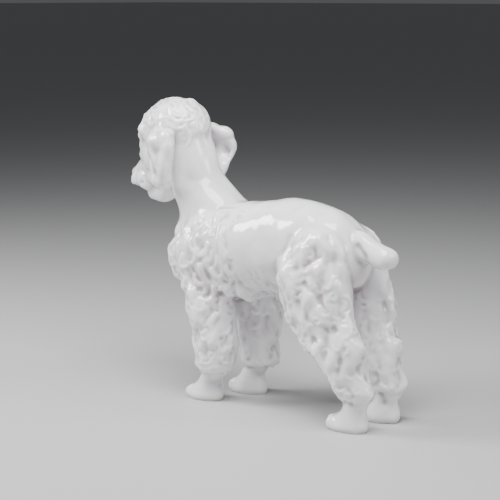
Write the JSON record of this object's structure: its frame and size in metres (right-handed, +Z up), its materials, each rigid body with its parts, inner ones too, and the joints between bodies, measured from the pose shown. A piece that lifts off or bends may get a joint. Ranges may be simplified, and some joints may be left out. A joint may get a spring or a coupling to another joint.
{
  "type": "porcelain dog figurine",
  "caption": "Standing poodle figurine in glazed white porcelain, with curled leg coat, hanging ears, a turned head and a short docked tail.",
  "frame": {"origin": "on the ground, under the middle of the figure's bounding box", "axes": "+Z up, the dog faces -Y, its left side is +X"},
  "size_m": [0.0592, 0.1946, 0.1672],
  "materials": {
    "white_glaze": "clear gloss glaze over white porcelain"
  },
  "bodies": {
    "root": {"torso": "white_glaze", "neck_and_head": "white_glaze", "ear_left": "white_glaze", "ear_right": "white_glaze", "foreleg_left": "white_glaze", "foreleg_right": "white_glaze", "hindleg_left": "white_glaze", "hindleg_right": "white_glaze", "tail": "white_glaze"}
  },
  "joints": []
}
